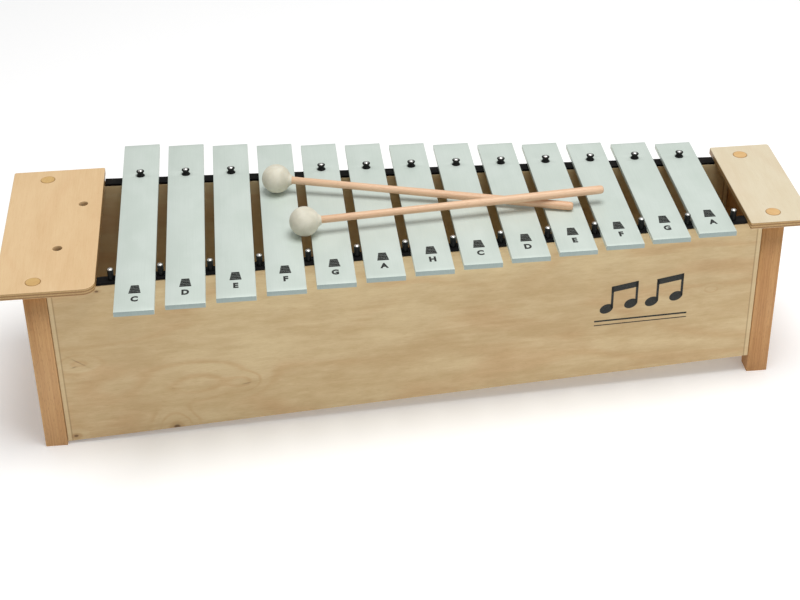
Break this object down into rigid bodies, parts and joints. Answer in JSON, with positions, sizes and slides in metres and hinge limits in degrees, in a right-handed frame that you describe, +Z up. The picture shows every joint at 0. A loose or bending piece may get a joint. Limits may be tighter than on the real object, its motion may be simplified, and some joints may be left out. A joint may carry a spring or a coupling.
{
  "type": "glockenspiel",
  "caption": "Diatonic bar instrument: tapered wooden resonator box on end boards, flat metal bars loose on soft strips between guide pins, carrying plates at both ends and two mallets.",
  "frame": {"origin": "on the floor, under the middle of the bounding box", "axes": "+X towards the high notes, +Y to the back, +Z up"},
  "size_m": [0.7674, 0.316, 0.2112],
  "materials": {
    "birch_ply": "clear matt lacquer on birch plywood",
    "beech": "clear matt lacquer on beech",
    "left_plate": "clear satin lacquer on warm plywood",
    "right_plate": "clear satin lacquer on pale plywood",
    "plug": "end-grain plug under lacquer",
    "strip": "matt black",
    "bar": "satin anodised, pale green-grey",
    "pin": "bright nickel head",
    "handle": "smooth lacquered beech",
    "head": "matt off-white"
  },
  "bodies": {
    "frame": {"front_panel": "birch_ply", "back_panel": "birch_ply", "resonator_floor": "birch_ply", "left_end_board": "beech", "right_end_board": "beech", "left_end_plate": "left_plate", "right_end_plate": "right_plate", "left_front_plug": "plug", "left_back_plug": "plug", "right_front_plug": "plug", "right_back_plug": "plug", "front_rest_strip": "strip", "back_rest_strip": "strip", "front_pin_01": "pin", "front_pin_02": "pin", "front_pin_03": "pin", "front_pin_04": "pin", "front_pin_05": "pin", "front_pin_06": "pin", "front_pin_07": "pin", "front_pin_08": "pin", "front_pin_09": "pin", "front_pin_10": "pin", "front_pin_11": "pin", "front_pin_12": "pin", "front_pin_13": "pin", "front_pin_14": "pin", "back_pin_01": "pin", "back_pin_02": "pin", "back_pin_03": "pin", "back_pin_04": "pin", "back_pin_05": "pin", "back_pin_06": "pin", "back_pin_07": "pin", "back_pin_08": "pin", "back_pin_09": "pin", "back_pin_10": "pin", "back_pin_11": "pin", "back_pin_12": "pin", "back_pin_13": "pin"},
    "bar_body_c4": {"bar_c4": "bar"},
    "bar_body_d4": {"bar_d4": "bar"},
    "bar_body_e4": {"bar_e4": "bar"},
    "bar_body_f4": {"bar_f4": "bar"},
    "bar_body_g4": {"bar_g4": "bar"},
    "bar_body_a4": {"bar_a4": "bar"},
    "bar_body_h4": {"bar_h4": "bar"},
    "bar_body_c5": {"bar_c5": "bar"},
    "bar_body_d5": {"bar_d5": "bar"},
    "bar_body_e5": {"bar_e5": "bar"},
    "bar_body_f5": {"bar_f5": "bar"},
    "bar_body_g5": {"bar_g5": "bar"},
    "bar_body_a5": {"bar_a5": "bar"},
    "lower_mallet": {"lower_mallet_head": "head", "lower_mallet_handle": "handle"},
    "upper_mallet": {"upper_mallet_head": "head", "upper_mallet_handle": "handle"}
  },
  "joints": [
    {"name": "lift_bar_c4", "type": "slide", "parent": "frame", "child": "bar_body_c4", "axis": [0, 0, 1], "range_m": [0, 0.03]},
    {"name": "lift_bar_d4", "type": "slide", "parent": "frame", "child": "bar_body_d4", "axis": [0, 0, 1], "range_m": [0, 0.03]},
    {"name": "lift_bar_e4", "type": "slide", "parent": "frame", "child": "bar_body_e4", "axis": [0, 0, 1], "range_m": [0, 0.03]},
    {"name": "lift_bar_f4", "type": "slide", "parent": "frame", "child": "bar_body_f4", "axis": [0, 0, 1], "range_m": [0, 0.03]},
    {"name": "lift_bar_g4", "type": "slide", "parent": "frame", "child": "bar_body_g4", "axis": [0, 0, 1], "range_m": [0, 0.03]},
    {"name": "lift_bar_a4", "type": "slide", "parent": "frame", "child": "bar_body_a4", "axis": [0, 0, 1], "range_m": [0, 0.03]},
    {"name": "lift_bar_h4", "type": "slide", "parent": "frame", "child": "bar_body_h4", "axis": [0, 0, 1], "range_m": [0, 0.03]},
    {"name": "lift_bar_c5", "type": "slide", "parent": "frame", "child": "bar_body_c5", "axis": [0, 0, 1], "range_m": [0, 0.03]},
    {"name": "lift_bar_d5", "type": "slide", "parent": "frame", "child": "bar_body_d5", "axis": [0, 0, 1], "range_m": [0, 0.03]},
    {"name": "lift_bar_e5", "type": "slide", "parent": "frame", "child": "bar_body_e5", "axis": [0, 0, 1], "range_m": [0, 0.03]},
    {"name": "lift_bar_f5", "type": "slide", "parent": "frame", "child": "bar_body_f5", "axis": [0, 0, 1], "range_m": [0, 0.03]},
    {"name": "lift_bar_g5", "type": "slide", "parent": "frame", "child": "bar_body_g5", "axis": [0, 0, 1], "range_m": [0, 0.03]},
    {"name": "lift_bar_a5", "type": "slide", "parent": "frame", "child": "bar_body_a5", "axis": [0, 0, 1], "range_m": [0, 0.03]},
    {"name": "lift_lower_mallet", "type": "slide", "parent": "frame", "child": "lower_mallet", "axis": [0, 0, 1], "range_m": [0, 0.12]},
    {"name": "lift_upper_mallet", "type": "slide", "parent": "frame", "child": "upper_mallet", "axis": [0, 0, 1], "range_m": [0, 0.15]}
  ],
  "couplings": [
    {"joint": "lift_bar_f4", "follows": "lift_upper_mallet", "ratio": 0.2},
    {"joint": "lift_bar_g4", "follows": "lift_upper_mallet", "ratio": 0.2},
    {"joint": "lift_bar_a4", "follows": "lift_upper_mallet", "ratio": 0.2},
    {"joint": "lift_bar_h4", "follows": "lift_upper_mallet", "ratio": 0.2},
    {"joint": "lift_bar_c5", "follows": "lift_upper_mallet", "ratio": 0.2},
    {"joint": "lift_bar_d5", "follows": "lift_upper_mallet", "ratio": 0.2},
    {"joint": "lift_bar_e5", "follows": "lift_upper_mallet", "ratio": 0.2},
    {"joint": "lift_bar_f5", "follows": "lift_upper_mallet", "ratio": 0.2},
    {"joint": "lift_lower_mallet", "follows": "lift_upper_mallet", "ratio": 0.8}
  ]
}
